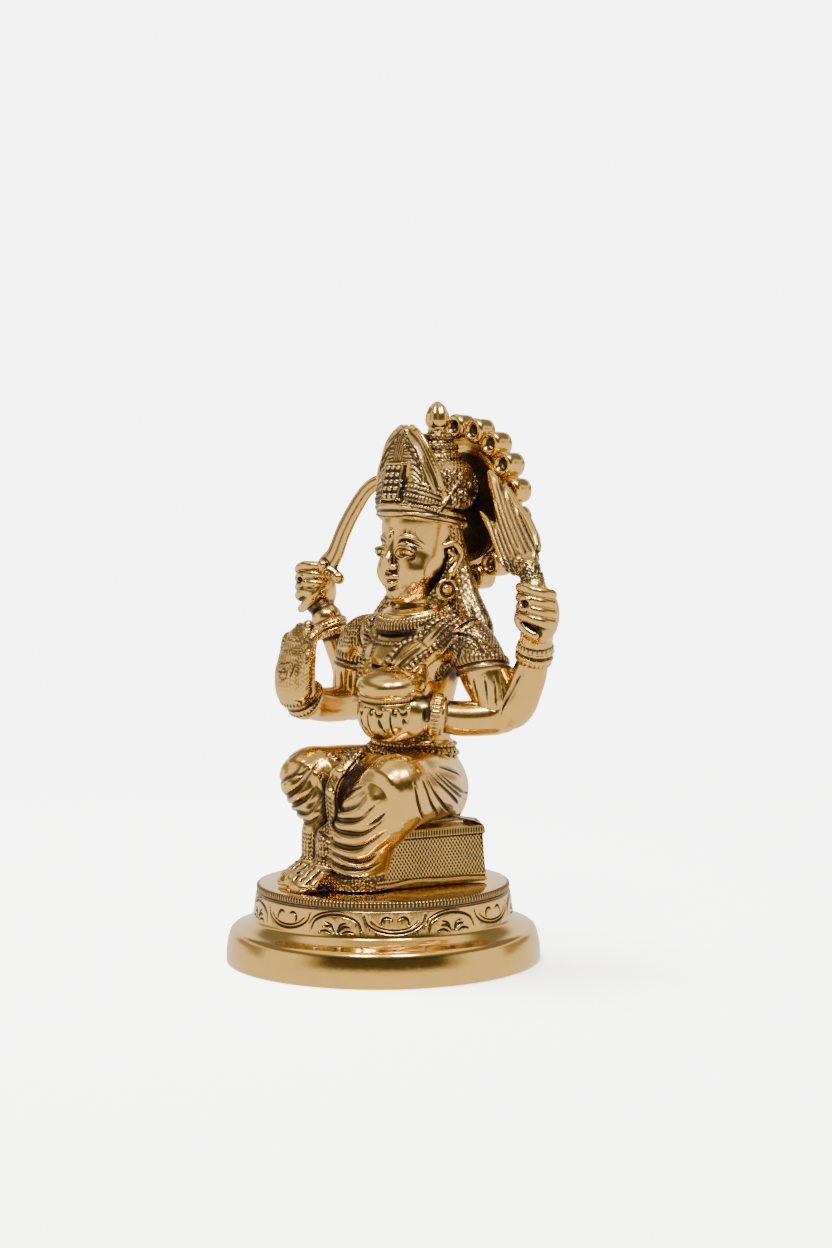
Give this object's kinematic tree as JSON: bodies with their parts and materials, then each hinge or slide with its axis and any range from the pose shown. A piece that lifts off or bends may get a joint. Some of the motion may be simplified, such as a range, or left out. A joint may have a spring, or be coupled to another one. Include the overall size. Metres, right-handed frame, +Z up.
{
  "type": "seated goddess figure",
  "caption": "Cast brass devotional figure of a seated goddess with raised and forward hands, tall crown and lobed halo, fixed on a round turned plinth.",
  "frame": {"origin": "centre of the round underside of the plinth, on the plane it stands on", "axes": "+Z up; the figure faces -Y, so her left hand side is +X"},
  "size_m": [0.0965, 0.085, 0.1505],
  "materials": {
    "brass_plinth": "turned and polished yellow brass, dark antique patina in the engraved lines",
    "brass_figure": "cast yellow brass, polished on the high places, dark antique patina in the chased recesses"
  },
  "bodies": {
    "root": {"plinth": "brass_plinth", "figure": "brass_figure"}
  },
  "joints": []
}
